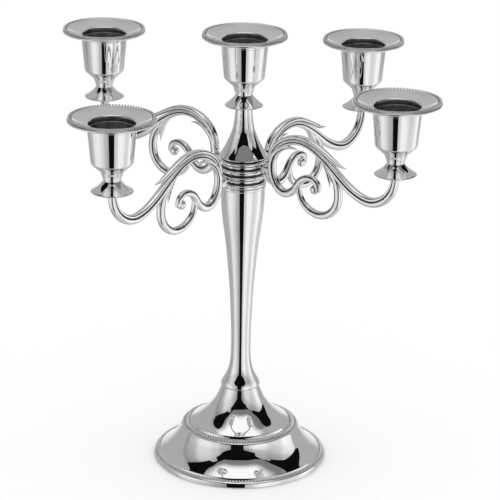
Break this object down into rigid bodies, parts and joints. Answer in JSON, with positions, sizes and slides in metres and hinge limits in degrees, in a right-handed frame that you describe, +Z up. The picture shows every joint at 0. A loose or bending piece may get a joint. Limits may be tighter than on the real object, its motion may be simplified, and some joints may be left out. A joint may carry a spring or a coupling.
{
  "type": "tabletop candelabra",
  "caption": "Silver-plated tabletop candelabra: beaded round foot, trumpet stem, two crossed scroll arm bars that turn, and candle cups with drip pans.",
  "frame": {"origin": "centre of the underside, on the table", "axes": "+Z up along the stem, X along the lower arm bar, Y along the upper arm bar"},
  "size_m": [0.279, 0.279, 0.27],
  "materials": {
    "silver_plate": "mirror-polished silver plate on brass",
    "steel": "plain zinc-plated steel",
    "brass": "turned brass",
    "ballast": "rough cast filling",
    "felt": "black felt"
  },
  "bodies": {
    "stand": {"base_shell": "silver_plate", "base_plate": "steel", "base_weight": "ballast", "felt_pad": "felt", "stem": "silver_plate", "stem_cap": "silver_plate", "tie_rod": "steel", "rod_washer": "steel", "rod_nut": "steel", "hub_bush": "brass", "centre_cone": "silver_plate", "cone_insert": "brass", "centre_rim": "silver_plate", "centre_cup": "silver_plate", "centre_foot": "silver_plate", "centre_stud": "steel"},
    "lower_bar": {"lower_ring": "silver_plate", "left_arm": "silver_plate", "right_arm": "silver_plate", "left_rim": "silver_plate", "left_cup": "silver_plate", "left_foot": "silver_plate", "left_stud": "steel", "right_rim": "silver_plate", "right_cup": "silver_plate", "right_foot": "silver_plate", "right_stud": "steel"},
    "upper_bar": {"upper_ring": "silver_plate", "front_arm": "silver_plate", "rear_arm": "silver_plate", "front_rim": "silver_plate", "front_cup": "silver_plate", "front_foot": "silver_plate", "front_stud": "steel", "rear_rim": "silver_plate", "rear_cup": "silver_plate", "rear_foot": "silver_plate", "rear_stud": "steel"}
  },
  "joints": [
    {"name": "lower_bar_turn", "type": "hinge", "parent": "stand", "child": "lower_bar", "pos_m": [0, 0, 0.1811], "axis": [0, 0, 1], "continuous": true},
    {"name": "upper_bar_turn", "type": "hinge", "parent": "lower_bar", "child": "upper_bar", "pos_m": [0, 0, 0.18985], "axis": [0, 0, 1], "range_deg": [-60, 60]}
  ]
}
